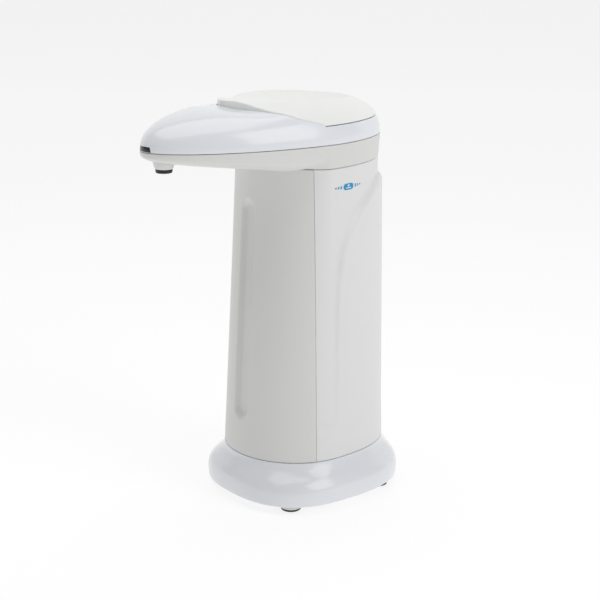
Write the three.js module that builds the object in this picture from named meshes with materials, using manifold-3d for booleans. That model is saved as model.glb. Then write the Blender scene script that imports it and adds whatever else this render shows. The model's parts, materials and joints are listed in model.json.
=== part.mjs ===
// Free-standing automatic soap dispenser: a tank and pump column on a flared base, under a long head
// whose nose carries the sensor and the nozzle. Millimetres, +Z up, the nose points to -Y, X is the width,
// and the origin is on the floor under the middle of the whole object.
import * as THREE from "three";
import { mergeVertices } from "three/addons/utils/BufferGeometryUtils.js";
import Module from "manifold-3d";

const wasm = await Module();
wasm.setup();

// ---- Driving dimensions ----

const TOTAL_HEIGHT = 196;
const GAP = 0.3;
const WALL = 1.8;
const AROUND = 32;
const FAR = 120;

// Each plan outline is two half superellipses that share their widest line.
const HEAD_PLAN = plan(34.6, 10.75, 78.25, 51.4, 1.85, 1.86);
const NECK_PLAN = plan(34.5, 11.5, 22, 49.5, 1.6, 1.87);
const ROOT_PLAN = plan(34.7, 14.1, 32.5, 48.6, 2.06, 2.2);
const RIM_PLAN = plan(41.5, 14.3, 38.3, 53.2, 2.55, 2.55);

const BASE_BOTTOM = 4.3;
const BASE_TOP = 23.4;
const COLUMN_BOTTOM = BASE_TOP + GAP;
const COLUMN_TOP = 164.8;
const HEAD_BOTTOM = COLUMN_TOP + GAP;
const HEAD_SEAM = 176;
const LID_SEAM = 184.7;

// The head's upper surface: a full dome over the head plan, drawn in towards a point near the nose.
const DOME = { centre: -30, rise: 21.7, riseSlope: 0.093, fullness: 2.645, roundness: 2.416, rows: 7 };
// The head's underside: a shallow hull, deep over the column and thin at the nose.
const HULL = {
  centre: -31,
  depth: 11.8,
  noseDepth: 4.8,
  fullness: 6.2,
  roundness: 3.75,
  deepFrom: -10,
  rows: 5,
};

const LID_TIP_Y = -26.5;
const LID_CORNER = { x: 32.7, y: 9.3 };
const LIP = { rise: 1.9, spread: 16 };
const RIM_SWELL = { rise: 2.4, x: 18.7, width: 10, y: 20, length: 29.4 };
// Both sides of the head fall away a little beside the lid's front edge.
const FLANK_DROP = { depth: 2.2, x: 20, width: 9, y: -12, length: 11 };
const SCOOP = { depth: 2, x: 9, y: -22, width: 11, length: 9 };
const DISH = { y: 11.2, z: 209.9, halfWidth: 30.4, halfLength: 51, halfHeight: 20, tilt: -0.04, floor: 2 };

const HINGE = {
  y: 57.5,
  z: 183.9,
  radius: 1.45,
  pinRadius: 0.6,
  lidHalf: 3,
  outer: 5,
  swing: 2.55,
  sideSwing: 2.05,
  relief: 8.6,
};
const FILLER = { y: 27, mouthRadius: 14.5, neckRadius: 16.5, top: 183 };
const DECK = {
  z: 181.2,
  thickness: 1.6,
  front: -12,
  legInner: 28.9,
  legOuter: 30.6,
  legFront: 8,
  legBack: 18,
};

// The front shell and the tank meet at this plane, and the pump and its drive stand ahead of it.
const SPLIT_Y = 4.2;
const TANK = { floor: 26, roof: 162.4, wall: 2 };
const BULGE = { z1: 156, frontY: 15, shoulderY: 42, proud: 1.9, footTop: 41 };
const OUTLET = { x: 8, z: 31, radius: 3, bore: 2, y0: 1 };
const MARK = { y: 22.2, z: 155.6, half: 1.9, radius: 1.55 };
const GROOVE = { halfWidth: 5.6, z0: 41, z1: 148.5, depth: 2.3 };

const NOZZLE = {
  y: -57.1,
  topRadius: 5.2,
  tipRadius: 3.9,
  bore: 1.9,
  tipBottom: 165.9,
  tipTop: 167.4,
  shoulder: 171.5,
  flange: 174,
  top: 176,
};
const WINDOW = { halfWidth: 4.2, back: -60.5, z0: 176.4, z1: 178.7, depth: 1.6 };
const EYES = { x: 2.2, radius: 1.2, ledRadius: 0.7, frontY: -63.4, backY: -60.3, z: 177.55 };

const GEAR_Y = SPLIT_Y - 6.7;
const MOTOR = { x: -13, radius: 6.2, flat: 4.6, z0: 64, z1: 84 };
const GEAR_Z = { z0: 57, z1: 60 };
const PINION_TEETH = 10;
const WHEEL_TEETH = 24;
const WHEEL_MODULE = 0.5;
const PUMP_TEETH = 10;
const PUMP_MODULE = 0.7;
const WHEEL_X = MOTOR.x + ((PINION_TEETH + WHEEL_TEETH) * WHEEL_MODULE) / 2;
const IDLER_X = WHEEL_X + PUMP_TEETH * PUMP_MODULE;
const PUMP = {
  x0: -10.5,
  x1: 8.5,
  y0: GEAR_Y - 6,
  y1: GEAR_Y + 6,
  z0: 42,
  z1: 52,
  floor: 44,
  coverTop: 54.3,
};
const SHAFT_RADIUS = 1.5;

const BATTERY = { radius: 5.1, pitch: 10.4, y0: -4.5, y1: 40, z: 12.1, pole: 0.9, poleRadius: 1.9 };
const BAY = { halfWidth: 20.9, y0: -9, y1: 44, roof: 17.8, wall: 1.2 };
const SWITCH = { y: 52, travel: 4 };
const PLATE = { z0: 4.4, z1: 6.4, inset: 2.6 };
const DOOR = { halfWidth: 20.9, y0: -11, y1: 46, z0: 2.4, z1: 4.1 };
const FEET = {
  x: 26.3,
  frontY: -6.2,
  backY: 48,
  radius: 4.75,
  bossBottom: 1.1,
  padTop: 0.8,
  stem: 1.6,
  stemTop: 4.3,
};
const SCREWS = {
  x: 30,
  frontY: 8,
  backY: 34,
  postRadius: 3.2,
  postTop: 20,
  pilot: 1.5,
  headRadius: 2.7,
  shank: 1.2,
};

// ---- Materials ----

const finishes = {
  shell: { color: 0xe4e7ec, roughness: 0.22, metalness: 0 },
  lid: { color: 0xeceeeb, roughness: 0.4, metalness: 0 },
  column: { color: 0xdcdcda, roughness: 0.45, metalness: 0 },
  tank: { color: 0xe2e3e3, roughness: 0.35, metalness: 0 },
  nozzle: { color: 0xd9dad6, roughness: 0.3, metalness: 0 },
  black: { color: 0x1b1c1e, roughness: 0.5, metalness: 0 },
  window: { color: 0x0b1f26, roughness: 0.08, metalness: 0 },
  rubber: { color: 0x26272a, roughness: 0.85, metalness: 0 },
  silicone: { color: 0xcfd2d2, roughness: 0.6, metalness: 0 },
  mark: { color: 0x0a93c4, roughness: 0.4, metalness: 0 },
  inner: { color: 0xc9cacb, roughness: 0.6, metalness: 0 },
  gear: { color: 0xe6dcc0, roughness: 0.5, metalness: 0 },
  board: { color: 0x1f6b43, roughness: 0.5, metalness: 0 },
  steel: { color: 0xb9bcc0, roughness: 0.35, metalness: 1 },
  cell: { color: 0x3b5c7c, roughness: 0.35, metalness: 0.4 },
};

const model = new THREE.Group();

function plan(halfWidth, middle, front, back, frontPower, backPower) {
  return { halfWidth, middle, front, back, frontPower, backPower };
}

function part(name, finish, body) {
  const shape = body.getMesh();
  const geometry = new THREE.BufferGeometry();
  geometry.setAttribute("position", new THREE.BufferAttribute(shape.vertProperties, 3));
  geometry.setIndex(new THREE.BufferAttribute(shape.triVerts, 1));
  geometry.computeVertexNormals();
  const mesh = new THREE.Mesh(geometry, new THREE.MeshStandardMaterial(finishes[finish]));
  mesh.name = name;
  model.add(mesh);
}

// ---- Solids ----

// A closed geometry as a solid: shared corners are merged and collapsed triangles dropped.
function solid(geometry) {
  const bare = geometry.index ? geometry.toNonIndexed() : geometry.clone();
  bare.deleteAttribute("normal");
  bare.deleteAttribute("uv");
  const merged = mergeVertices(bare, 1e-4);
  const corners = merged.index.array;
  const kept = [];
  for (let i = 0; i < corners.length; i += 3) {
    const [a, b, c] = [corners[i], corners[i + 1], corners[i + 2]];
    if (a !== b && b !== c && c !== a) kept.push(a, b, c);
  }
  return new wasm.Manifold(
    new wasm.Mesh({
      numProp: 3,
      vertProperties: new Float32Array(merged.attributes.position.array),
      triVerts: new Uint32Array(kept),
    }),
  );
}

function box(x0, x1, y0, y1, z0, z1) {
  const geometry = new THREE.BoxGeometry(x1 - x0, y1 - y0, z1 - z0);
  geometry.translate((x0 + x1) / 2, (y0 + y1) / 2, (z0 + z1) / 2);
  return solid(geometry);
}

function slab(z0, z1) {
  return box(-FAR, FAR, -FAR, FAR, z0, z1);
}

// A round bar or cone standing along Z.
function upright(x, y, z0, z1, bottomRadius, topRadius = bottomRadius, sides = 16) {
  const geometry = new THREE.CylinderGeometry(topRadius, bottomRadius, z1 - z0, sides);
  geometry.rotateX(Math.PI / 2);
  geometry.translate(x, y, (z0 + z1) / 2);
  return solid(geometry);
}

function lyingX(x0, x1, y, z, radius, sides = 16) {
  const geometry = new THREE.CylinderGeometry(radius, radius, x1 - x0, sides);
  geometry.rotateZ(Math.PI / 2);
  geometry.translate((x0 + x1) / 2, y, z);
  return solid(geometry);
}

function lyingY(x, y0, y1, z, frontRadius, backRadius = frontRadius, sides = 16) {
  const geometry = new THREE.CylinderGeometry(backRadius, frontRadius, y1 - y0, sides);
  geometry.translate(x, (y0 + y1) / 2, z);
  return solid(geometry);
}

function prism(shape, z0, z1) {
  const settings = { depth: z1 - z0, bevelEnabled: false, curveSegments: 8 };
  const geometry = new THREE.ExtrudeGeometry(shape, settings);
  geometry.translate(0, 0, z0);
  return solid(geometry);
}

// A shape drawn in Y and Z, pushed along X.
function acrossX(shape, x0, x1) {
  const settings = { depth: x1 - x0, bevelEnabled: false, curveSegments: 10 };
  const geometry = new THREE.ExtrudeGeometry(shape, settings);
  const turn = new THREE.Matrix4().set(0, 0, 1, x0, 1, 0, 0, 0, 0, 1, 0, 0, 0, 0, 0, 1);
  geometry.applyMatrix4(turn);
  return solid(geometry);
}

function union(bodies) {
  return bodies.reduce((whole, body) => whole.add(body));
}

function planPoint(plan, angle, inset) {
  const c = Math.cos(angle);
  const s = Math.sin(angle);
  const power = 2 / (s < 0 ? plan.frontPower : plan.backPower);
  const reach = (s < 0 ? plan.front : plan.back) - inset;
  const x = Math.sign(c) * Math.abs(c) ** power * (plan.halfWidth - inset);
  const y = plan.middle + Math.sign(s) * Math.abs(s) ** power * reach;
  return [x, y];
}

function blendPlans(from, to, share) {
  const blended = {};
  for (const key of Object.keys(from)) blended[key] = THREE.MathUtils.lerp(from[key], to[key], share);
  return blended;
}

// A solid through plan outlines, from the bottom up. A station's height is a number or a function of x and y.
function loft(stations) {
  const rows = stations.length - 1;
  const geometry = new THREE.CylinderGeometry(1, 1, 1, AROUND, rows);
  const position = geometry.attributes.position;
  for (let i = 0; i < position.count; i++) {
    const { plan, inset = 0, scale = 1, centre = plan.middle, height } =
      stations[Math.round((position.getY(i) + 0.5) * rows)];
    const reach = Math.hypot(position.getX(i), position.getZ(i)) * scale;
    const angle = Math.atan2(-position.getZ(i), position.getX(i));
    const [planX, planY] = planPoint(plan, angle, inset);
    const x = planX * reach;
    const y = centre + (planY - centre) * reach;
    position.setXYZ(i, x, y, typeof height === "function" ? height(x, y) : height);
  }
  return solid(geometry);
}

function tube(points, outer, bore, steps) {
  const shape = new THREE.Shape().absarc(0, 0, outer, 0, 2 * Math.PI);
  shape.holes.push(new THREE.Path().absarc(0, 0, bore, 0, 2 * Math.PI, true));
  const path = new THREE.CatmullRomCurve3(points.map((p) => new THREE.Vector3(...p)), false, "centripetal");
  return solid(new THREE.ExtrudeGeometry(shape, { steps, extrudePath: path, curveSegments: 4 }));
}

function spurGear(x, y, z0, z1, teeth, module, turn) {
  const shape = new THREE.Shape();
  const pitch = (2 * Math.PI) / teeth;
  const root = (teeth * module) / 2 - 1.15 * module;
  const tip = (teeth * module) / 2 + 0.85 * module;
  const corners = [[-0.3, root], [-0.12, tip], [0.12, tip], [0.3, root]];
  for (let tooth = 0; tooth < teeth; tooth++) {
    for (const [share, radius] of corners) {
      const angle = turn + (tooth + share) * pitch;
      const [px, py] = [radius * Math.cos(angle), radius * Math.sin(angle)];
      if (tooth === 0 && share === corners[0][0]) shape.moveTo(px, py);
      else shape.lineTo(px, py);
    }
  }
  return prism(shape, z0, z1).translate([x, y, 0]);
}

function bell(distance, spread) {
  return Math.exp(-((distance / spread) ** 2));
}

// ---- Head ----

// The dome over the head plan. lift(x, y) raises or lowers it locally.
function dome(inset, lift) {
  const stations = [];
  for (let row = 0; row <= DOME.rows; row++) {
    const turn = (Math.PI / 2) * 0.985 * (row / DOME.rows);
    const climb = Math.sin(turn) ** (2 / DOME.roundness);
    const rise = (y) => DOME.rise - inset + DOME.riseSlope * (y - 10);
    const height = (x, y) => HEAD_SEAM + rise(y) * climb + lift(x, y) * climb ** 3;
    const scale = Math.cos(turn) ** (2 / DOME.fullness);
    stations.push({ plan: HEAD_PLAN, inset, scale, centre: DOME.centre, height });
  }
  return loft(stations).add(loft([
    { plan: HEAD_PLAN, inset, height: HEAD_SEAM - 2 },
    { plan: HEAD_PLAN, inset, height: HEAD_SEAM + 0.01 },
  ]));
}

function hull(inset) {
  const stations = [];
  for (let row = HULL.rows; row >= 0; row--) {
    const turn = (Math.PI / 2) * 0.985 * (row / HULL.rows);
    const drop = Math.sin(turn) ** (2 / HULL.roundness);
    const height = (x, y) => {
      const along = THREE.MathUtils.clamp((HULL.deepFrom - y) / (HULL.deepFrom + 67.4), 0, 1);
      const depth = HULL.depth - (HULL.depth - HULL.noseDepth) * along ** 0.78;
      return HEAD_SEAM - (depth - inset) * drop;
    };
    const scale = Math.cos(turn) ** (2 / HULL.fullness);
    stations.push({ plan: HEAD_PLAN, inset, scale, centre: HULL.centre, height });
  }
  return loft(stations).intersect(slab(HEAD_BOTTOM + inset, HEAD_SEAM));
}

// A soft hump on both sides, highest at the centre of its spread.
function sideBell(x, y, spread) {
  return bell(Math.abs(x) - spread.x, spread.width) * bell(y - spread.y, spread.length);
}

// A raised lip at the lid's tip, and a swell along both sides of its finger dish.
function lidLift(x, y) {
  const lip = LIP.rise * bell(Math.hypot(x, y - LID_TIP_Y), LIP.spread);
  return lip + RIM_SWELL.rise * sideBell(x, y, RIM_SWELL) - FLANK_DROP.depth * sideBell(x, y, FLANK_DROP);
}

// A shallow scoop in the shell ahead of the lid's tip.
function shellLift(x, y) {
  return -SCOOP.depth * sideBell(x, y, SCOOP) - FLANK_DROP.depth * sideBell(x, y, FLANK_DROP);
}

const noLift = () => 0;

// The lid's leaf-shaped plan, grown by margin, open wide behind its side corners.
function lidPlan(margin) {
  const grow = margin * 1.25;
  const flank = [[9, -21.8], [16, -17], [23.7, -10.8], [29.4, -3]];
  const right = flank.map(([x, y]) => new THREE.Vector2(x + margin * 0.8, y - margin * 0.6));
  const shape = new THREE.Shape();
  shape.moveTo(-LID_CORNER.x - margin, LID_CORNER.y);
  shape.splineThru([
    ...right.map((p) => new THREE.Vector2(-p.x, p.y)).reverse(),
    new THREE.Vector2(-2, LID_TIP_Y - grow + 0.7),
    new THREE.Vector2(2, LID_TIP_Y - grow + 0.7),
    ...right,
    new THREE.Vector2(LID_CORNER.x + margin, LID_CORNER.y),
  ]);
  shape.lineTo(FAR, LID_CORNER.y - margin);
  shape.lineTo(FAR, FAR);
  shape.lineTo(-FAR, FAR);
  shape.lineTo(-FAR, LID_CORNER.y - margin);
  return shape;
}

function dish(drop) {
  const geometry = new THREE.SphereGeometry(1, 28, 20);
  geometry.scale(DISH.halfWidth, DISH.halfLength, DISH.halfHeight);
  geometry.rotateX(DISH.tilt);
  geometry.translate(0, DISH.y, DISH.z - drop);
  return solid(geometry);
}

function makeHead() {
  const sides = [-1, 1];
  const outerSpan = (side, from, to) => [Math.min(side * from, side * to), Math.max(side * from, side * to)];
  const hingeBar = (side, from, to, radius) => lyingX(...outerSpan(side, from, to), HINGE.y, HINGE.z, radius);
  const barPair = (from, to, radius) => union(sides.map((side) => hingeBar(side, from, to, radius)));
  const pinRoom = barPair(0, HINGE.outer + GAP, HINGE.pinRadius + GAP);
  const swingRoom = barPair(0, HINGE.lidHalf + GAP, HINGE.swing)
    .add(barPair(HINGE.outer, HINGE.relief, HINGE.sideSwing));

  const windowBox = (room) => box(
    -WINDOW.halfWidth - room,
    WINDOW.halfWidth + room,
    -FAR,
    WINDOW.back + room,
    WINDOW.z0 - room,
    WINDOW.z1 + room,
  );
  const lidRoom = prism(lidPlan(GAP), LID_SEAM - GAP / 2, FAR * 2);
  const shell = dome(0, shellLift)
    .subtract(dome(WALL, shellLift))
    .intersect(slab(HEAD_SEAM + GAP / 2, FAR * 2))
    .subtract(lidRoom)
    .subtract(windowBox(GAP))
    .subtract(swingRoom)
    .add(barPair(HINGE.lidHalf + GAP, HINGE.outer, HINGE.radius));
  part("head_shell", "shell", shell.subtract(pinRoom));

  const window = dome(0.15, noLift)
    .subtract(dome(WINDOW.depth, noLift))
    .intersect(windowBox(0));
  part("sensor_window", "window", window);

  const block = dome(0, lidLift)
    .subtract(dish(0))
    .intersect(prism(lidPlan(0), LID_SEAM + GAP / 2, TOTAL_HEIGHT));
  const cavity = dome(WALL, lidLift)
    .subtract(dish(DISH.floor))
    .intersect(prism(lidPlan(-WALL), LID_SEAM - 1, TOTAL_HEIGHT));
  const plugTop = 191;
  const plug = upright(0, FILLER.y, FILLER.top + 1.9, plugTop, FILLER.neckRadius + 1)
    .subtract(upright(0, FILLER.y, FILLER.top, plugTop - 1.5, FILLER.mouthRadius - 1.5));
  const web = box(-HINGE.lidHalf, HINGE.lidHalf, HINGE.y - 1.4, HINGE.y + 0.2, HINGE.z + 1, LID_SEAM + 1.6);
  const lid = union([
    block.subtract(cavity),
    plug.subtract(dish(DISH.floor / 2)),
    barPair(0, HINGE.lidHalf, HINGE.radius),
    web,
  ]);
  const shellKnuckleRoom = barPair(HINGE.lidHalf, HINGE.outer + GAP, HINGE.sideSwing);
  part("filler_lid", "lid", lid.subtract(shellKnuckleRoom).subtract(pinRoom));

  const filler = (z0, z1, radius) => upright(0, FILLER.y, z0, z1, radius, radius, 28);
  const seal = filler(FILLER.top + GAP, FILLER.top + 1.6, FILLER.neckRadius + 0.6);
  part("lid_seal", "silicone", seal.subtract(filler(FILLER.top, FILLER.top + 2, FILLER.mouthRadius - 1)));
  part("hinge_pin", "steel", lyingX(-HINGE.outer, HINGE.outer, HINGE.y, HINGE.z, HINGE.pinRadius, 14));

  const columnWell = loft([
    { plan: NECK_PLAN, inset: 5, height: HEAD_BOTTOM - 5 },
    { plan: NECK_PLAN, inset: 5, height: HEAD_SEAM },
  ]);
  const neck = (inset) => loft([
    { plan: NECK_PLAN, inset, height: HEAD_BOTTOM + inset },
    { plan: HEAD_PLAN, inset, height: HEAD_SEAM },
    { plan: HEAD_PLAN, inset, height: HEAD_SEAM + inset },
  ]);
  const tray = hull(0)
    .add(neck(0.01))
    .subtract(hull(WALL).add(neck(WALL)))
    .intersect(slab(0, HEAD_SEAM - GAP / 2))
    .subtract(columnWell)
    .subtract(upright(0, NOZZLE.y, 160, HEAD_SEAM, NOZZLE.topRadius + GAP));
  part("head_tray", "column", tray);

  const deckTop = DECK.z + DECK.thickness;
  const deckPlan = { plan: HEAD_PLAN, inset: WALL + 0.6, scale: 0.955, centre: DOME.centre };
  const legs = sides.map((side) => {
    const [x0, x1] = outerSpan(side, DECK.legInner, DECK.legOuter);
    return box(x0, x1, DECK.legFront, DECK.legBack, HEAD_BOTTOM + WALL + GAP, DECK.z + 0.5);
  });
  const deck = loft([{ ...deckPlan, height: DECK.z }, { ...deckPlan, height: deckTop }])
    .intersect(box(-FAR, FAR, DECK.front, HINGE.y - HINGE.swing - 0.6, 0, FAR * 2))
    .add(union(legs))
    .subtract(filler(0, FAR * 2, FILLER.neckRadius + GAP));
  part("filler_deck", "inner", deck);
}

function makeNozzle() {
  const turned = (z0, z1, bottomRadius, topRadius) => upright(0, NOZZLE.y, z0, z1, bottomRadius, topRadius);
  const body = union([
    turned(NOZZLE.tipTop + GAP, NOZZLE.shoulder, NOZZLE.tipRadius + 0.25, NOZZLE.topRadius - 0.1),
    turned(NOZZLE.shoulder - 0.01, NOZZLE.flange, NOZZLE.topRadius - 0.1, NOZZLE.topRadius),
    turned(NOZZLE.flange - 0.2, NOZZLE.flange + 0.9, NOZZLE.topRadius + 0.8),
    turned(NOZZLE.flange + 0.8, NOZZLE.top, NOZZLE.bore + 0.8),
  ]).subtract(turned(0, FAR * 2, NOZZLE.bore));
  part("nozzle_body", "nozzle", body);
  const tip = turned(NOZZLE.tipBottom, NOZZLE.tipTop, NOZZLE.tipRadius - 0.3, NOZZLE.tipRadius)
    .subtract(turned(0, FAR * 2, NOZZLE.bore));
  part("nozzle_tip", "black", tip);
  const valveRadius = NOZZLE.bore - GAP;
  const valveWall = 0.5;
  const valve = turned(NOZZLE.tipBottom + 0.6, NOZZLE.shoulder, valveRadius - 0.4, valveRadius)
    .subtract(turned(NOZZLE.tipBottom, NOZZLE.shoulder + 0.5, 0.4, valveRadius - valveWall));
  part("outlet_valve", "silicone", valve);
}

function makeSensor() {
  const barrel = (x, radius) => lyingY(x, EYES.frontY, EYES.backY, EYES.z, radius, radius, 12);
  for (const [name, side] of [["ir_emitter", -1], ["ir_receiver", 1]]) {
    const x = side * EYES.x;
    const lens = new THREE.SphereGeometry(EYES.radius, 12, 8);
    lens.translate(x, EYES.frontY, EYES.z);
    part(name, "black", barrel(x, EYES.radius).add(solid(lens)));
  }
  part("status_led", "nozzle", barrel(0, EYES.ledRadius));
  part("sensor_board", "board", box(-9, 9, -54, -34, 183.4, 184.5));
}

// ---- Column ----

// The column's outside, set in by one amount at its foot and another at its top.
function column(footInset, topInset = footInset) {
  const stations = [];
  const rows = 3;
  for (let row = 0; row <= rows; row++) {
    const up = row / rows;
    stations.push({
      plan: blendPlans(ROOT_PLAN, NECK_PLAN, up),
      inset: THREE.MathUtils.lerp(footInset, topInset, up),
      height: THREE.MathUtils.lerp(BASE_TOP, COLUMN_TOP, up),
    });
  }
  return loft(stations);
}

const frontLean = Math.atan((NECK_PLAN.middle - NECK_PLAN.front - ROOT_PLAN.middle + ROOT_PLAN.front)
  / (COLUMN_TOP - BASE_TOP));

// A round-ended bar lying in the front face, leaning with it.
function frontSlot(halfWidth, depth) {
  const half = (GROOVE.z1 - GROOVE.z0) / 2 - halfWidth;
  const shape = new THREE.Shape();
  shape.absarc(0, half, halfWidth, 0, Math.PI);
  shape.absarc(0, -half, halfWidth, Math.PI, 2 * Math.PI);
  const geometry = new THREE.ExtrudeGeometry(shape, { depth: 30, bevelEnabled: false, curveSegments: 12 });
  geometry.rotateX(Math.PI / 2);
  geometry.rotateX(-frontLean);
  const z = (GROOVE.z0 + GROOVE.z1) / 2;
  const frontAtFoot = ROOT_PLAN.middle - ROOT_PLAN.front;
  geometry.translate(0, frontAtFoot + (z - BASE_TOP) * Math.tan(frontLean) + depth, z);
  return solid(geometry);
}

function makeColumn() {
  const front = column(0)
    .subtract(frontSlot(GROOVE.halfWidth, GROOVE.depth))
    .subtract(column(WALL).subtract(frontSlot(GROOVE.halfWidth + WALL, GROOVE.depth + WALL)))
    .intersect(box(-FAR, FAR, -FAR, SPLIT_Y, COLUMN_BOTTOM, COLUMN_TOP - 0.05));
  part("front_shell", "column", front);

  // The tank's sides swell out behind a curved line that falls steeply ahead and runs level behind.
  const arch = new THREE.Shape();
  arch.moveTo(BULGE.frontY, 0);
  arch.lineTo(BULGE.frontY, BULGE.z1 - 50);
  arch.bezierCurveTo(
    BULGE.frontY,
    BULGE.z1 - 18,
    BULGE.shoulderY - 8,
    BULGE.z1 - 12,
    BULGE.shoulderY + 6,
    BULGE.z1,
  );
  arch.lineTo(FAR, BULGE.z1);
  arch.lineTo(FAR, 0);
  const swell = column(GAP, -BULGE.proud).intersect(acrossX(arch, -FAR, FAR));
  const foot = column(0).intersect(slab(0, BULGE.footTop));

  const outside = union([column(GAP), swell, foot])
    .intersect(box(-FAR, FAR, SPLIT_Y + GAP, FAR, COLUMN_BOTTOM, COLUMN_TOP));
  const inside = column(TANK.wall + GAP)
    .intersect(box(-FAR, FAR, SPLIT_Y + GAP + TANK.wall, FAR, TANK.floor, TANK.roof));
  const filler = (z0, z1, radius) => upright(0, FILLER.y, z0, z1, radius, radius, 28);
  const outlet = (y0, y1, radius) => lyingY(OUTLET.x, y0, y1, OUTLET.z, radius);
  const tank = outside
    .add(filler(TANK.roof, FILLER.top, FILLER.neckRadius))
    .subtract(inside)
    .subtract(filler(TANK.roof - 1, FILLER.top + 1, FILLER.mouthRadius))
    .add(outlet(OUTLET.y0, SPLIT_Y + 1, OUTLET.radius))
    .subtract(outlet(OUTLET.y0 - 1, SPLIT_Y + 6, OUTLET.bore));
  part("reservoir", "tank", tank);
  const seal = outlet(OUTLET.y0 + 0.1, OUTLET.y0 + 1.4, OUTLET.radius + 1.4);
  part("outlet_seal", "silicone", seal.subtract(outlet(OUTLET.y0 - 1, OUTLET.y0 + 2, OUTLET.radius + GAP)));

  const markShape = new THREE.Shape();
  markShape.absarc(MARK.y + MARK.half, MARK.z, MARK.radius, -Math.PI / 2, Math.PI / 2);
  markShape.absarc(MARK.y - MARK.half, MARK.z, MARK.radius, Math.PI / 2, (3 * Math.PI) / 2);
  const skin = column(-0.25).subtract(column(0.05));
  part("level_mark", "mark", skin.intersect(acrossX(markShape, 0, FAR)));
}

// ---- Pump and drive, between the front shell and the tank ----

function makeDrive() {
  const motorBody = upright(MOTOR.x, GEAR_Y, MOTOR.z0, MOTOR.z1, MOTOR.radius)
    .intersect(box(-FAR, FAR, GEAR_Y - MOTOR.flat, GEAR_Y + MOTOR.flat, 0, FAR))
    .add(upright(MOTOR.x, GEAR_Y, MOTOR.z1 - 0.1, MOTOR.z1 + 1.6, 2))
    .subtract(upright(MOTOR.x, GEAR_Y, 0, MOTOR.z0 + 6, 1.1, 1.1, 16));
  part("pump_motor", "steel", motorBody);
  const pinion = spurGear(MOTOR.x, GEAR_Y, GEAR_Z.z0, GEAR_Z.z1, PINION_TEETH, WHEEL_MODULE, 0)
    .add(upright(MOTOR.x, GEAR_Y, GEAR_Z.z0, MOTOR.z0 + 5, 0.8, 0.8, 16));
  part("motor_pinion", "gear", pinion);

  const lowZ = PUMP.floor + GAP;
  const highZ = PUMP.z1 - GAP;
  const toothed = (x, turn) => spurGear(x, GEAR_Y, lowZ, highZ, PUMP_TEETH, PUMP_MODULE, turn);
  const wheelTurn = Math.PI + Math.PI / WHEEL_TEETH;
  const wheel = spurGear(WHEEL_X, GEAR_Y, GEAR_Z.z0, GEAR_Z.z1, WHEEL_TEETH, WHEEL_MODULE, wheelTurn)
    .add(toothed(WHEEL_X, 0))
    .add(upright(WHEEL_X, GEAR_Y, PUMP.z1 - 1, GEAR_Z.z1 + 1, SHAFT_RADIUS, SHAFT_RADIUS, 20));
  part("drive_gear", "gear", wheel);
  const idler = toothed(IDLER_X, Math.PI / PUMP_TEETH);
  part("idler_gear", "gear", idler.subtract(upright(IDLER_X, GEAR_Y, 0, FAR, 1.3, 1.3, 20)));

  const chamberRadius = (PUMP_TEETH * PUMP_MODULE) / 2 + PUMP_MODULE + 0.15;
  const portX = (WHEEL_X + IDLER_X) / 2;
  const portY = 3.6;
  const body = box(PUMP.x0, PUMP.x1, PUMP.y0, PUMP.y1, PUMP.z0, PUMP.z1)
    .subtract(upright(WHEEL_X, GEAR_Y, PUMP.floor, FAR, chamberRadius, chamberRadius, 18))
    .subtract(upright(IDLER_X, GEAR_Y, PUMP.floor, FAR, chamberRadius, chamberRadius, 18))
    .add(upright(IDLER_X, GEAR_Y, PUMP.floor - 1, PUMP.z1 - GAP, 1, 1, 20))
    .add(upright(portX, GEAR_Y + portY, PUMP.z0 - 4, PUMP.z0 + 1, 2.3))
    .subtract(upright(portX, GEAR_Y + portY, PUMP.z0 - 5, PUMP.z0 + 5, 1.3, 1.3, 16))
    .add(lyingX(PUMP.x1 - 1, PUMP.x1 + 4, GEAR_Y - portY, PUMP.z0 + 6, 2.3))
    .subtract(lyingX(portX, PUMP.x1 + 5, GEAR_Y - portY, PUMP.z0 + 6, 1.3, 16));
  part("pump_body", "inner", body);
  const cover = box(PUMP.x0, PUMP.x1, PUMP.y0, PUMP.y1, PUMP.z1 + GAP, PUMP.coverTop)
    .subtract(upright(WHEEL_X, GEAR_Y, 0, FAR, SHAFT_RADIUS + GAP, SHAFT_RADIUS + GAP, 20));
  part("pump_cover", "inner", cover);
  const bracket = box(MOTOR.x - 6, 3.5, GEAR_Y - 4.5, SPLIT_Y - 0.4, GEAR_Z.z1 + 1.4, MOTOR.z0 - GAP)
    .subtract(upright(MOTOR.x, GEAR_Y, 0, FAR, 1.6, 1.6, 20));
  part("motor_bracket", "steel", bracket);

  const inletTop = PUMP.z0 - 4 - GAP;
  const inletY = GEAR_Y + portY;
  const suctionLine = [
    [OUTLET.x, OUTLET.y0 - 0.4, OUTLET.z],
    [OUTLET.x, -2.8, OUTLET.z],
    [5, -6.3, 30.6],
    [0.5, -5.3, 30.3],
    [portX, -1, 31.5],
    [portX, inletY, 34.5],
    [portX, inletY, inletTop],
  ];
  part("suction_tube", "silicone", tube(suctionLine, 2.3, 1.3, 14));
  const deliveryLine = [
    [PUMP.x1 + 4 + GAP, GEAR_Y - portY, 48],
    [15.5, GEAR_Y - portY, 48.3],
    [18, -6, 53],
    [18, -3, 66],
    [18, 0.2, 120],
    [16, 1.4, 158],
    [13, 1.6, 170],
    [7, -8, 176.5],
    [1, -26, 178.5],
    [0, -44, 179.5],
    [0, -53, 180.2],
    [0, NOZZLE.y + 0.2, 178.6],
    [0, NOZZLE.y, NOZZLE.top + GAP],
  ];
  part("delivery_tube", "silicone", tube(deliveryLine, 2.2, 1.3, 26));
  part("control_board", "board", box(-14, 12, SPLIT_Y - 2.8, SPLIT_Y - 1.4, 92, 150));
}

// ---- Base ----

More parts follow.
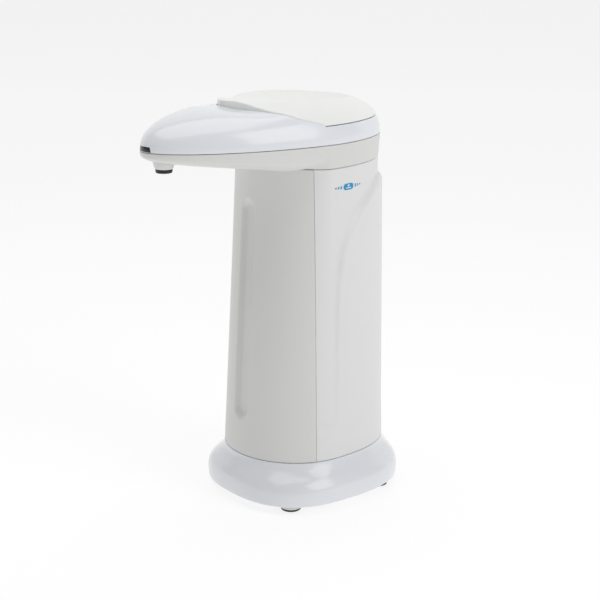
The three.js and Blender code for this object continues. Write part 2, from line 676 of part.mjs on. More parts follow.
// Heights up the flare, each with how far the outline has grown from the column's root to the rim.
const FLARE = [
  [BASE_BOTTOM, 0.975],
  [6, 0.995],
  [8, 1],
  [10.5, 0.985],
  [13, 0.9],
  [15.5, 0.7],
  [18, 0.43],
  [20.5, 0.2],
  [22.4, 0.07],
  [BASE_TOP, 0.03],
];

function makeBase() {
  const stationsOf = (inset, lift) => FLARE.map(([z, share]) => (
    { plan: blendPlans(ROOT_PLAN, RIM_PLAN, share), inset, height: z + lift }
  ));
  const flareInner = loft(stationsOf(WALL + 0.2, -WALL - 0.4));
  const posts = [];
  const pilots = [];
  const plateHoles = [];
  const corners = (frontY, backY) => [-1, 1].flatMap((side) => [
    [`front_${side < 0 ? "left" : "right"}`, side, frontY],
    [`back_${side < 0 ? "left" : "right"}`, side, backY],
  ]);
  for (const [corner, side, y] of corners(SCREWS.frontY, SCREWS.backY)) {
    const x = side * SCREWS.x;
    posts.push(upright(x, y, PLATE.z1 + GAP, SCREWS.postTop, SCREWS.postRadius, SCREWS.postRadius, 20));
    pilots.push(upright(x, y, 0, SCREWS.postTop - 2, SCREWS.pilot, SCREWS.pilot, 12));
    plateHoles.push(upright(x, y, 0, FAR, SCREWS.pilot + 0.1, SCREWS.pilot + 0.1, 12));
    plateHoles.push(upright(x, y, 0, PLATE.z0 + 1.2, SCREWS.headRadius + GAP, SCREWS.headRadius + GAP, 20));
    const headTop = PLATE.z0 + 0.9;
    const slotTop = PLATE.z0 + 0.2;
    const screw = upright(x, y, PLATE.z0 - 0.4, headTop, SCREWS.headRadius, SCREWS.headRadius, 16)
      .add(upright(x, y, headTop - 0.1, 15, SCREWS.shank, SCREWS.shank, 10))
      .subtract(box(x - 1.6, x + 1.6, y - 0.3, y + 0.3, 0, slotTop))
      .subtract(box(x - 0.3, x + 0.3, y - 1.6, y + 1.6, 0, slotTop));
    part(`base_screw_${corner}`, "steel", screw);
  }
  const base = loft(stationsOf(0, 0))
    .subtract(flareInner.intersect(slab(-FAR, BASE_TOP - 2)))
    .add(union(posts))
    .subtract(union(pilots));
  part("base_skirt", "shell", base);

  const plateStation = { plan: RIM_PLAN, inset: PLATE.inset };
  const bosses = [];
  const stems = [];
  for (const [corner, side, y] of corners(FEET.frontY, FEET.backY)) {
    const x = side * FEET.x;
    bosses.push(upright(x, y, FEET.bossBottom, PLATE.z1, FEET.radius, FEET.radius, 32));
    stems.push(upright(x, y, 0, FEET.stemTop + GAP, FEET.stem + GAP, FEET.stem + GAP));
    const pad = upright(x, y, 0, FEET.padTop, FEET.radius - 0.4, FEET.radius, 18)
      .add(upright(x, y, FEET.padTop - GAP, FEET.stemTop, FEET.stem, FEET.stem));
    part(`foot_${corner}`, "rubber", pad);
  }
  const bayReach = BAY.halfWidth + BAY.wall;
  const bayTop = BAY.roof + BAY.wall;
  const bayOuter = box(-bayReach, bayReach, BAY.y0 - BAY.wall, BAY.y1 + BAY.wall, PLATE.z0, bayTop);
  const bayInner = box(-BAY.halfWidth, BAY.halfWidth, BAY.y0, BAY.y1, 0, BAY.roof);
  const knobSlot = box(-5.5, 5.5, SWITCH.y - 1.8, SWITCH.y + 1.8, 0, FAR);
  const plate = loft([{ ...plateStation, height: PLATE.z0 }, { ...plateStation, height: PLATE.z1 }])
    .add(bayOuter)
    .add(union(bosses))
    .subtract(bayInner)
    .subtract(union(stems))
    .subtract(union(plateHoles))
    .subtract(knobSlot);
  part("base_plate", "column", plate);
  const grips = [0, 1, 2].map((i) => box(-6, 6, 2.4 * i - 7, 2.4 * i - 6, 0, DOOR.z0 + 0.5));
  const door = box(-DOOR.halfWidth, DOOR.halfWidth, DOOR.y0, DOOR.y1, DOOR.z0, DOOR.z1);
  part("battery_door", "inner", door.subtract(union(grips)));

  const knob = box(-4, SWITCH.travel - 4.4, SWITCH.y - 1.2, SWITCH.y + 1.2, 2.7, PLATE.z1 + 0.6)
    .add(box(-4.8, SWITCH.travel - 3.6, SWITCH.y - 2.6, SWITCH.y + 2.6, PLATE.z1 + 0.5, PLATE.z1 + 1.4));
  part("switch_slider", "black", knob);
  const switchBody = box(-8, 8, SWITCH.y - 4, SWITCH.y + 4, PLATE.z1 + GAP, PLATE.z1 + 6)
    .subtract(box(-5.6, 5.6, SWITCH.y - 3, SWITCH.y + 3, 0, PLATE.z1 + 1.9));
  part("switch_body", "black", switchBody);

  for (let cell = 0; cell < 4; cell++) {
    const x = (cell - 1.5) * BATTERY.pitch;
    const flip = cell % 2 === 0;
    const [poleStart, poleEnd] = flip ? [BATTERY.y0, BATTERY.y0 + 1] : [BATTERY.y1 - 1, BATTERY.y1];
    const canStart = BATTERY.y0 + (flip ? BATTERY.pole : 0);
    const canEnd = BATTERY.y1 - (flip ? 0 : BATTERY.pole);
    const can = lyingY(x, canStart, canEnd, BATTERY.z, BATTERY.radius, BATTERY.radius, 18);
    const pole = lyingY(x, poleStart, poleEnd, BATTERY.z, BATTERY.poleRadius);
    part(`battery_${cell + 1}`, "cell", can.add(pole));
  }
  makeContacts();
}

// Spring contacts: bent plates behind each end of the cells, with a cone where a cell's flat end sits.
function makeContacts() {
  const plateTop = BATTERY.z + 4.4;
  const plateBottom = BATTERY.z - 4.4;
  const frontPlate = [BAY.y0 + 0.3, BAY.y0 + 0.9];
  const backPlate = [BAY.y1 - 0.9, BAY.y1 - 0.3];
  const groups = [
    ["contact_front_left", frontPlate, [0, 1]],
    ["contact_front_right", frontPlate, [2, 3]],
    ["contact_back_middle", backPlate, [1, 2]],
    ["contact_back_left", backPlate, [0]],
    ["contact_back_right", backPlate, [3]],
  ];
  for (const [name, [y0, y1], cells] of groups) {
    const centres = cells.map((cell) => (cell - 1.5) * BATTERY.pitch);
    let contact = box(Math.min(...centres) - 4, Math.max(...centres) + 4, y0, y1, plateBottom, plateTop);
    cells.forEach((cell, i) => {
      const atFront = y0 < 0;
      const spring = (cell % 2 === 0) !== atFront;
      const reach = atFront ? BATTERY.y0 - GAP : BATTERY.y1 + GAP;
      const wide = spring ? 3.6 : 2.4;
      const narrow = spring ? 1.8 : 2;
      contact = contact.add(atFront
        ? lyingY(centres[i], y1 - 0.1, reach, BATTERY.z, wide, narrow, 16)
        : lyingY(centres[i], reach, y0 + 0.1, BATTERY.z, narrow, wide, 16));
    });
    part(name, "steel", contact);
  }
}

makeHead();
makeNozzle();
makeSensor();
makeColumn();
makeDrive();
makeBase();

export default model;
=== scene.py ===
import json
import math

import bmesh
import bpy
import numpy as np
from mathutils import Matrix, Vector


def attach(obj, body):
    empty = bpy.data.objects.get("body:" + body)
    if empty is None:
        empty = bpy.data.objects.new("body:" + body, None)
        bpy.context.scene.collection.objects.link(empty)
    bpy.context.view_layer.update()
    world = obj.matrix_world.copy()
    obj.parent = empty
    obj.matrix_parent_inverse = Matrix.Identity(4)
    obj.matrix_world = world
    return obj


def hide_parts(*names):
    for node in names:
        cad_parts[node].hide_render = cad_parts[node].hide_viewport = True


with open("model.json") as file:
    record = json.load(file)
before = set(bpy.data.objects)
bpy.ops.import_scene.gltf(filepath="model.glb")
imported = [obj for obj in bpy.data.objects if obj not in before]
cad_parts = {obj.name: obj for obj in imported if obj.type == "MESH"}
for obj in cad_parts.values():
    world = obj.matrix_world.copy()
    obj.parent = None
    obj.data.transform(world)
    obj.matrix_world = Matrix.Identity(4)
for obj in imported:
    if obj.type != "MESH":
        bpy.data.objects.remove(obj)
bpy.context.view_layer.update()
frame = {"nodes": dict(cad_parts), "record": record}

# All shapes are worked out in millimetres in the CAD frame, and written to the meshes in metres.
MM = 0.001
PI = math.pi

HEAD = dict(half_width=34.6, middle=10.75, front=78.25, back=51.4, front_power=1.85, back_power=1.86)
NECK = dict(half_width=34.5, middle=11.5, front=22.0, back=49.5, front_power=1.6, back_power=1.87)
ROOT = dict(half_width=34.7, middle=14.1, front=32.5, back=48.6, front_power=2.06, back_power=2.2)
RIM = dict(half_width=41.5, middle=14.3, front=38.3, back=53.2, front_power=2.55, back_power=2.55)

BASE_TOP = 23.4
COLUMN_TOP = 164.8
GAP = 0.3
WALL = 1.8
HEAD_BOTTOM = 165.1
HEAD_SEAM = 176.0
LID_SEAM = 184.7

DOME_CENTRE = -30.0
DOME_RISE = 21.7
DOME_SLOPE = 0.093
DOME_SLOPE_FROM = 10
DOME_FULLNESS = 2.645
DOME_ROUNDNESS = 2.416
HULL_CENTRE = -31.0
HULL_DEPTH = 11.8
HULL_NOSE_DEPTH = 4.8
HULL_TAPER = dict(start=-10, length=57.4, power=0.78)
HULL_FULLNESS = 6.2
HULL_ROUNDNESS = 3.75
DISH = dict(y=11.2, z=209.9, half_x=30.4, half_y=51.0, half_z=20.0, tilt=-0.04, floor=2.0)

HUB_Y = 11.5
TIP_Y = -26.5
HINGE_Y = 57.5
HINGE_Z = 183.9
HINGE_BORE = 0.9
HINGE_RADIUS = 1.45
HINGE_LID_HALF = 3.0
HINGE_OUTER = 5.0
HINGE_ROOM = 2.85
HINGE_SIDE_ROOM = 2.3
HINGE_RELIEF = 8.6
HINGE_AT = (0, HINGE_Y, HINGE_Z)
FILLER_Y = 27.0
NOZZLE_Y = -57.1
NOZZLE_HOLE = 5.5
NOZZLE_BORE = 1.9
SPLIT_Y = 4.2
LID_TOP = 196.0
SHARP_ANGLE = math.radians(42)
VIEW_TURN = math.radians(53.022)


# ---- Curves and fields ----

def plan_point(plan, angle, inset=0.0):
    """Places on a plan's outline. Its front and back halves have their own reach and power."""
    c, s = np.cos(angle), np.sin(angle)
    power = 2 / np.where(s < 0, plan["front_power"], plan["back_power"])
    reach = np.where(s < 0, plan["front"], plan["back"]) - inset
    x = np.sign(c) * np.abs(c) ** power * (plan["half_width"] - inset)
    y = plan["middle"] + np.sign(s) * np.abs(s) ** power * reach
    return x, y


def blend_plans(a, b, share):
    return {key: a[key] + (b[key] - a[key]) * share for key in a}


def outline_reach(plan, origin_y, dx, dy, inset=0.0):
    """How far the plan's outline is from (0, origin_y) along the unit direction (dx, dy)."""
    lo = np.zeros_like(dx)
    hi = np.full_like(dx, 140.0)
    for _ in range(44):
        mid = (lo + hi) / 2
        x, y = mid * dx, origin_y + mid * dy - plan["middle"]
        ahead = y < 0
        power = np.where(ahead, plan["front_power"], plan["back_power"])
        reach = np.where(ahead, plan["front"], plan["back"]) - inset
        inside = (np.abs(x) / (plan["half_width"] - inset)) ** power + (np.abs(y) / reach) ** power < 1
        lo, hi = np.where(inside, mid, lo), np.where(inside, hi, mid)
    return (lo + hi) / 2


def plan_share(plan, centre, x, y, inset=0.0):
    """0 at the centre, 1 on the outline."""
    far = np.maximum(np.hypot(x, y - centre), 1e-9)
    return np.minimum(far / outline_reach(plan, centre, x / far, (y - centre) / far, inset), 1.0)


def bell(distance, spread):
    return np.exp(-((distance / spread) ** 2))


def side_bell(x, y, across, width, along, length):
    """A soft hump on both sides."""
    return bell(np.abs(x) - across, width) * bell(y - along, length)


def flank_drop(x, y):
    """Both sides of the head fall away a little beside the lid's front edge."""
    return -2.2 * side_bell(x, y, across=20, width=9, along=-12, length=11)


def lid_lift(x, y):
    """A lip at the lid's tip, and a swell along both sides of its finger dish."""
    lip = 1.9 * bell(np.hypot(x, y - TIP_Y), 16)
    swelling = 2.4 * side_bell(x, y, across=18.7, width=10, along=20, length=29.4)
    return lip + swelling + flank_drop(x, y)


def shell_lift(x, y):
    """A shallow scoop ahead of the lid's tip."""
    return -2.0 * side_bell(x, y, across=9, width=11, along=-22, length=9) + flank_drop(x, y)


def dome(x, y, inset=0.0, lift=None):
    """The height of the head's top, or of the surface inset below it."""
    share = plan_share(HEAD, DOME_CENTRE, x, y, inset)
    climb = (1 - share ** DOME_FULLNESS) ** (1 / DOME_ROUNDNESS)
    extra = 0.0 if lift is None else lift(x, y)
    return HEAD_SEAM + (DOME_RISE - inset + DOME_SLOPE * (y - DOME_SLOPE_FROM)) * climb + extra * climb ** 3


def hull(x, y):
    """The height of the head's underside."""
    share = plan_share(HEAD, HULL_CENTRE, x, y)
    along = np.clip((HULL_TAPER["start"] - y) / HULL_TAPER["length"], 0, 1)
    depth = HULL_DEPTH - (HULL_DEPTH - HULL_NOSE_DEPTH) * along ** HULL_TAPER["power"]
    return HEAD_SEAM - depth * (1 - share ** HULL_FULLNESS) ** (1 / HULL_ROUNDNESS)


def dish(x, y, drop=0.0):
    """The lower half of a tilted ellipsoid, or a very high value beyond it."""
    half_x, half_y, half_z = DISH["half_x"], DISH["half_y"], DISH["half_z"]
    c, s = math.cos(DISH["tilt"]), math.sin(DISH["tilt"])
    across = y - DISH["y"]
    a = s * s / half_y ** 2 + c * c / half_z ** 2
    b = 2 * across * c * s * (1 / half_y ** 2 - 1 / half_z ** 2)
    k = (x / half_x) ** 2 + across ** 2 * (c * c / half_y ** 2 + s * s / half_z ** 2) - 1
    inner = b * b - 4 * a * k
    low = (-b - np.sqrt(np.maximum(inner, 0))) / (2 * a)
    return np.where(inner > 0, DISH["z"] - drop + low, 260.0)


def soft_min(a, b, width):
    """The lower of two values, rounded where they cross."""
    share = np.clip(0.5 + 0.5 * (b - a) / width, 0, 1)
    return b + (a - b) * share - width * share * (1 - share)


def smooth_step(low, high, value):
    t = np.clip((value - low) / (high - low), 0, 1)
    return t * t * (3 - 2 * t)


def through(points, per_span):
    """A smooth line through the points."""
    p = np.array(points, float)
    p = np.vstack([p[:1], p, p[-1:]])
    t = np.linspace(0, 1, per_span, endpoint=False)[:, None]
    spans = []
    for i in range(1, len(p) - 2):
        a, b, c, d = p[i - 1], p[i], p[i + 1], p[i + 2]
        spans.append(0.5 * (2 * b + (c - a) * t + (2 * a - 5 * b + 4 * c - d) * t ** 2
                            + (3 * b - a - 3 * c + d) * t ** 3))
    return np.vstack([*spans, p[-1:]])


def along_line(points, count):
    """count points evenly spaced along a line of points."""
    steps = np.hypot(*np.diff(points, axis=0).T)
    at = np.concatenate([[0], np.cumsum(steps)])
    wanted = np.linspace(0, at[-1], count)
    return np.column_stack([np.interp(wanted, at, points[:, k]) for k in range(points.shape[1])])


def crossing(value_at, low, high):
    """The distance where value_at(distance) falls past zero, for each direction at once."""
    for _ in range(40):
        mid = (low + high) / 2
        above = value_at(mid) > 0
        low, high = np.where(above, mid, low), np.where(above, high, mid)
    return (low + high) / 2


# ---- Meshes ----

def quads(count, width, ring=True, closed=False):
    """Faces between rows of points. ring joins each row's ends, and closed the last row to the first."""
    faces = []
    for i in range(count if closed else count - 1):
        here, there = i * width, ((i + 1) % count) * width
        for k in range(width if ring else width - 1):
            n = (k + 1) % width
            faces.append((here + k, here + n, there + n, there + k))
    return faces


def grid_object(name, rows, ring=True, closed=False, start=None, end=None):
    """A mesh of quads between rows of points. start and end are points that close the first and last rows."""
    rows = np.asarray(rows, float)
    count, width = rows.shape[:2]
    points = list(rows.reshape(-1, 3) * MM)
    faces = quads(count, width, ring, closed)
    for point, row in ((start, 0), (end, count - 1)):
        if point is not None:
            points.append(np.array(point, float) * MM)
            tip, first = len(points) - 1, row * width
            for k in range(width):
                faces.append((first + (k + 1) % width, first + k, tip))
    return mesh_object(name, points, faces)


def smooth_shade(mesh):
    mesh.polygons.foreach_set("use_smooth", [True] * len(mesh.polygons))
    mesh.set_sharp_from_angle(angle=SHARP_ANGLE)


def mesh_object(name, points, faces):
    mesh = bpy.data.meshes.new(name)
    mesh.from_pydata([tuple(p) for p in points], [], faces)
    work = bmesh.new()
    work.from_mesh(mesh)
    bmesh.ops.remove_doubles(work, verts=work.verts, dist=2e-7)
    bmesh.ops.recalc_face_normals(work, faces=work.faces)
    work.to_mesh(mesh)
    work.free()
    smooth_shade(mesh)
    obj = bpy.data.objects.new(name, mesh)
    bpy.context.scene.collection.objects.link(obj)
    return obj


def closed_wall(name, rows):
    """A wall whose section is a closed loop: its two ends are closed by one face each."""
    rows = np.asarray(rows, float)
    count, width = rows.shape[:2]
    points = list(rows.reshape(-1, 3) * MM)
    faces = quads(count, width)
    faces.append(tuple(range(width))[::-1])
    faces.append(tuple((count - 1) * width + k for k in range(width)))
    return mesh_object(name, points, faces)


def lathe(name, profile, centre, axis="z", sides=96):
    """A closed profile of (radius, height) turned about an axis through centre."""
    rows = []
    turn = np.linspace(0, 2 * PI, sides, endpoint=False)
    for radius, height in profile:
        a, b = radius * np.cos(turn), radius * np.sin(turn)
        h = np.full(sides, height)
        if axis == "z":
            rows.append(np.column_stack([centre[0] + a, centre[1] + b, centre[2] + h]))
        elif axis == "x":
            rows.append(np.column_stack([centre[0] + h, centre[1] + a, centre[2] + b]))
        else:
            rows.append(np.column_stack([centre[0] + a, centre[1] + h, centre[2] + b]))
    return grid_object(name, rows, closed=True)


def rounded(corners, radius, steps=5):
    """A closed outline with its corners rounded. A corner may give its own radius as a third number."""
    out = []
    count = len(corners)
    for i, corner in enumerate(corners):
        p = np.array(corner[:2], float)
        a = np.array(corners[i - 1][:2], float) - p
        b = np.array(corners[(i + 1) % count][:2], float) - p
        la, lb = np.linalg.norm(a), np.linalg.norm(b)
        a, b = a / la, b / lb
        r = corner[2] if len(corner) > 2 else radius
        half = math.acos(max(-1, min(1, float(a @ b)))) / 2
        cut = min(r / max(math.tan(half), 1e-6), la * 0.48, lb * 0.48)
        if r <= 0 or half > PI / 2 - 0.02:
            out.append(tuple(p))
            continue
        for t in np.linspace(0, 1, steps):
            q = p + a * cut * (1 - t) ** 2 + b * cut * t ** 2
            out.append(tuple(q))
    return out


def cut_away(obj, cutter):
    """Cuts the cutter's shape out of an object, and removes the cutter."""
    cut = obj.modifiers.new("cut", "BOOLEAN")
    cut.operation = "DIFFERENCE"
    cut.object = cutter
    cut.solver = "EXACT"
    view = bpy.context.evaluated_depsgraph_get()
    done = bpy.data.meshes.new_from_object(obj.evaluated_get(view))
    obj.modifiers.clear()
    obj.data = done
    smooth_shade(done)
    bpy.data.objects.remove(cutter)


def solid_bar(name, radius, low, high, centre, axis, sides):
    """A plain round bar between two heights along an axis."""
    hair = 0.0001
    profile = [(hair, low), (radius, low), (radius, high), (hair, high)]
    return lathe(name, profile, centre, axis, sides)


# ---- Materials ----

def add_node(tree, kind, **inputs):
    node = tree.nodes.new(kind)
    for key, value in inputs.items():
        node.inputs[key].default_value = value
    return node


def moulded(name, colour, roughness, grain=0.006, grain_size=9000, swirl=0.015, spread=0.03, edge_sheen=0.03,
            coat=0.0, metal=0.0, scatter=0.0, bump=0.12):
    """Moulded plastic, rubber or metal: fine grain, patchy gloss, drifting colour and painted highlights on
    edges.
    """
    material = bpy.data.materials.new(name)
    material.use_nodes = True
    tree = material.node_tree
    shader = tree.nodes["Principled BSDF"]
    link = tree.links.new
    where = tree.nodes.new("ShaderNodeTexCoord").outputs["Object"]

    drift = add_node(tree, "ShaderNodeTexNoise", Scale=38.0, Detail=3.0)
    link(where, drift.inputs["Vector"])
    speck = add_node(tree, "ShaderNodeTexNoise", Scale=float(grain_size) / 6, Detail=4.0, Roughness=0.6)
    link(where, speck.inputs["Vector"])
    texture = add_node(tree, "ShaderNodeTexNoise", Scale=float(grain_size), Detail=2.0)
    link(where, texture.inputs["Vector"])

    tone = add_node(tree, "ShaderNodeMapRange", **{"To Min": 1 - swirl, "To Max": 1 + swirl})
    link(drift.outputs["Fac"], tone.inputs["Value"])
    fleck = add_node(tree, "ShaderNodeMapRange", **{"To Min": 1 - grain, "To Max": 1 + grain})
    link(speck.outputs["Fac"], fleck.inputs["Value"])
    both = tree.nodes.new("ShaderNodeMath")
    both.operation = "MULTIPLY"
    link(tone.outputs["Result"], both.inputs[0])
    link(fleck.outputs["Result"], both.inputs[1])
    body = tree.nodes.new("ShaderNodeVectorMath")
    body.operation = "SCALE"
    body.inputs[0].default_value = colour
    link(both.outputs["Value"], body.inputs["Scale"])

    # Painted highlight: convex edges, found by pointiness, are mixed towards a paler version of the colour.
    edges = tree.nodes.new("ShaderNodeNewGeometry")
    painted_edge_highlight = add_node(tree, "ShaderNodeMapRange",
                    **{"From Min": 0.52, "From Max": 0.64, "To Min": 0.0, "To Max": edge_sheen})
    link(edges.outputs["Pointiness"], painted_edge_highlight.inputs["Value"])
    mix = tree.nodes.new("ShaderNodeMix")
    mix.data_type = "RGBA"
    link(painted_edge_highlight.outputs["Result"], mix.inputs["Factor"])
    link(body.outputs["Vector"], mix.inputs["A"])
    mix.inputs["B"].default_value = (*[min(1.0, c * 1.15 + 0.12) for c in colour], 1)
    link(mix.outputs["Result"], shader.inputs["Base Color"])

    patch = add_node(tree, "ShaderNodeTexNoise", Scale=130.0, Detail=5.0, Roughness=0.65)
    link(where, patch.inputs["Vector"])
    gloss = add_node(tree, "ShaderNodeMapRange",
                     **{"To Min": max(0.02, roughness - spread), "To Max": min(1.0, roughness + spread)})
    link(patch.outputs["Fac"], gloss.inputs["Value"])
    link(gloss.outputs["Result"], shader.inputs["Roughness"])

    relief = add_node(tree, "ShaderNodeBump", Strength=bump, Distance=0.00004)
    link(texture.outputs["Fac"], relief.inputs["Height"])
    link(relief.outputs["Normal"], shader.inputs["Normal"])

    shader.inputs["Metallic"].default_value = metal
    shader.inputs["Coat Weight"].default_value = coat
    shader.inputs["Coat Roughness"].default_value = 0.06
    shader.inputs["Subsurface Weight"].default_value = scatter
    shader.inputs["Subsurface Radius"].default_value = (0.9, 0.95, 1.0)
    shader.inputs["Subsurface Scale"].default_value = 0.002
    return material


LOOKS = {
    "shell": moulded("gloss_shell", (0.79, 0.81, 0.85), 0.2, swirl=0.006, coat=0.35, bump=0.04, edge_sheen=0.05),
    "lid": moulded("satin_lid", (0.88, 0.89, 0.87), 0.42, swirl=0.008, bump=0.16),
    "column": moulded("satin_column", (0.71, 0.71, 0.695), 0.42, swirl=0.01, bump=0.16),
    "tank": moulded("satin_tank", (0.775, 0.775, 0.775), 0.36, swirl=0.012, bump=0.12, scatter=0.08),
    "nozzle": moulded("milky_nozzle", (0.74, 0.75, 0.73), 0.3, swirl=0.01, scatter=0.3, bump=0.06),
    "black": moulded("black_satin", (0.005, 0.005, 0.006), 0.38, swirl=0.1, grain=0.06, edge_sheen=0.08),
    "window": moulded("dark_window", (0.002, 0.010, 0.012), 0.12, swirl=0.1, coat=0.1, bump=0.02, edge_sheen=0.03),
    "rubber": moulded("black_rubber", (0.02, 0.02, 0.022), 0.78, swirl=0.12, grain=0.1, bump=0.4, edge_sheen=0.06),
    "silicone": moulded("clear_silicone", (0.66, 0.68, 0.68), 0.45, swirl=0.02, scatter=0.4, bump=0.1),
    "mark": moulded("blue_print", (0.004, 0.29, 0.55), 0.35, swirl=0.04, bump=0.08, edge_sheen=0.0),
    "inner": moulded("matte_inner", (0.62, 0.63, 0.64), 0.55, swirl=0.02, bump=0.3),
    "gear": moulded("acetal_gear", (0.78, 0.70, 0.52), 0.45, swirl=0.02, scatter=0.15, bump=0.1),
    "board": moulded("green_board", (0.012, 0.14, 0.06), 0.4, swirl=0.12, grain=0.05, coat=0.3, bump=0.25),
    "steel": moulded("plated_steel", (0.52, 0.54, 0.56), 0.3, swirl=0.04, spread=0.1, metal=1.0, bump=0.15),
    "cell": moulded("printed_can", (0.045, 0.10, 0.20), 0.3, swirl=0.05, metal=0.5, coat=0.3, bump=0.08),
}


def place(obj, body, slot, *nodes):
    obj.data.materials.clear()
    obj.data.materials.append(LOOKS[slot])
    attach(obj, body)
    if nodes:
        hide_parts(*nodes)
    return obj


# ---- Head ----

# Directions from the hub of the head, closer together towards the nose.
PHASE = np.linspace(0, 2 * PI, 640, endpoint=False)
TURN = -PI / 2 + PHASE - 0.4 * np.sin(PHASE)
DX, DY = np.cos(TURN), np.sin(TURN)


def polar(radius, height):
    """A row of points at these distances from the hub, at a height or a height field's value."""
    x, y = radius * DX, HUB_Y + radius * DY
    z = height(x, y) if callable(height) else height
    return np.column_stack([x, y, np.broadcast_to(z, x.shape)])


NO_FLANK = 400.0


def flank_reach():
    """Distance from the hub to the lid's leaf-shaped front edge, and NO_FLANK behind its side corners."""
    right = [(2, TIP_Y + 0.7), (9, -21.8), (16, -17), (23.7, -10.8), (29.4, -3), (32.7, 9.3)]
    left = [(-x, y) for x, y in reversed(right)]
    line = np.vstack([[-200, 9.3], through(left + right, 24), [200, 9.3]])
    angle = np.arctan2(line[:, 1] - HUB_Y, line[:, 0])
    far = np.hypot(line[:, 0], line[:, 1] - HUB_Y)
    wrapped = (TURN + 2 * PI) % (2 * PI) - 2 * PI
    return np.where(DY < -0.012, np.interp(wrapped, angle, far), NO_FLANK)


FLANK = flank_reach()


def contour(height, inset, lift):
    """Distance from the hub to where the dome has come down to a height."""
    far = outline_reach(HEAD, HUB_Y, DX, DY, inset)
    return crossing(lambda r: dome(r * DX, HUB_Y + r * DY, inset, lift) - height, np.full_like(DX, 5.0), far)


def grow(radius, margin):
    """An outline moved outwards by a margin along its own normal."""
    step = np.roll(TURN, -1) - np.roll(TURN, 1)
    step[[0, -1]] += 2 * PI
    slope = (np.roll(radius, -1) - np.roll(radius, 1)) / step
    return radius + margin * np.sqrt(1 + np.clip(slope / radius, -3, 3) ** 2)


RIM_REACH = outline_reach(HEAD, HUB_Y, DX, DY)
RIM_INNER = outline_reach(HEAD, HUB_Y, DX, DY, WALL)


def cut_bars(obj, *bars):
    """Cuts room for the hinge: bars (x0, x1, radius) along the hinge's axis."""
    for x0, x1, radius in bars:
        cut_away(obj, solid_bar("cutter", radius, x0, x1, HINGE_AT, "x", 64))


def knuckle(name, low, high, side=1):
    """A hinge knuckle between two distances from the hinge's middle, on one side of it."""
    corners = [(HINGE_BORE, low), (HINGE_RADIUS, low), (HINGE_RADIUS, high), (HINGE_BORE, high)]
    profile = [(radius, side * height) for radius, height in rounded(corners, 0.15)]
    return lathe(name, profile, HINGE_AT, "x", 48)


def eased(v):
    """From 0 to 1, in small steps at first."""
    return (1 - math.cos(v * PI / 2)) ** 1.25


def make_shell():
    """The glossy upper shell: a wall between the head's seam and the lid's opening."""
    flank = np.where(FLANK < NO_FLANK, grow(np.minimum(FLANK, 60), GAP), NO_FLANK)
    opening = soft_min(flank, contour(LID_SEAM - GAP / 2, 0, shell_lift), 0.5)
    inner_opening = np.minimum(opening, contour(LID_SEAM - GAP / 2, WALL, shell_lift))
    high = HEAD_SEAM + GAP / 2
    # The edge of the opening is sharp behind and rounder in front.
    edge = 0.14 + 0.26 * smooth_step(-0.05, -0.5, DY)

    def outer(x, y):
        return np.maximum(dome(x, y, 0, shell_lift), high + 0.25)

    def inner(x, y):
        return np.maximum(dome(x, y, WALL, shell_lift), high)

    rows = [polar(RIM_REACH - 0.25, high), polar(RIM_REACH - 0.07, high + 0.08)]
    for v in np.linspace(0, 1, 84):
        rows.append(polar(RIM_REACH + (opening + edge - RIM_REACH) * eased(v), outer))
    for turn in np.radians([18, 36, 54, 72, 90]):
        row = polar(opening + edge * (1 - math.sin(turn)), outer)
        row[:, 2] -= edge * (1 - math.cos(turn))
        rows.append(row)
    rows.append(polar(inner_opening, inner))
    for v in np.linspace(1, 0, 40):
        rows.append(polar(RIM_INNER + (inner_opening - RIM_INNER) * eased(v), inner))
    shell = grid_object("upper_shell", rows, closed=True)
    near = HINGE_LID_HALF + GAP
    cut_bars(shell, (-near, near, HINGE_ROOM), (-HINGE_RELIEF, -HINGE_OUTER, HINGE_SIDE_ROOM),
             (HINGE_OUTER, HINGE_RELIEF, HINGE_SIDE_ROOM))
    place(shell, "root", "shell", "head_shell")
    for side, name in ((-1, "left"), (1, "right")):
        place(knuckle(f"shell_knuckle_{name}", near, HINGE_OUTER, side), "root", "shell")


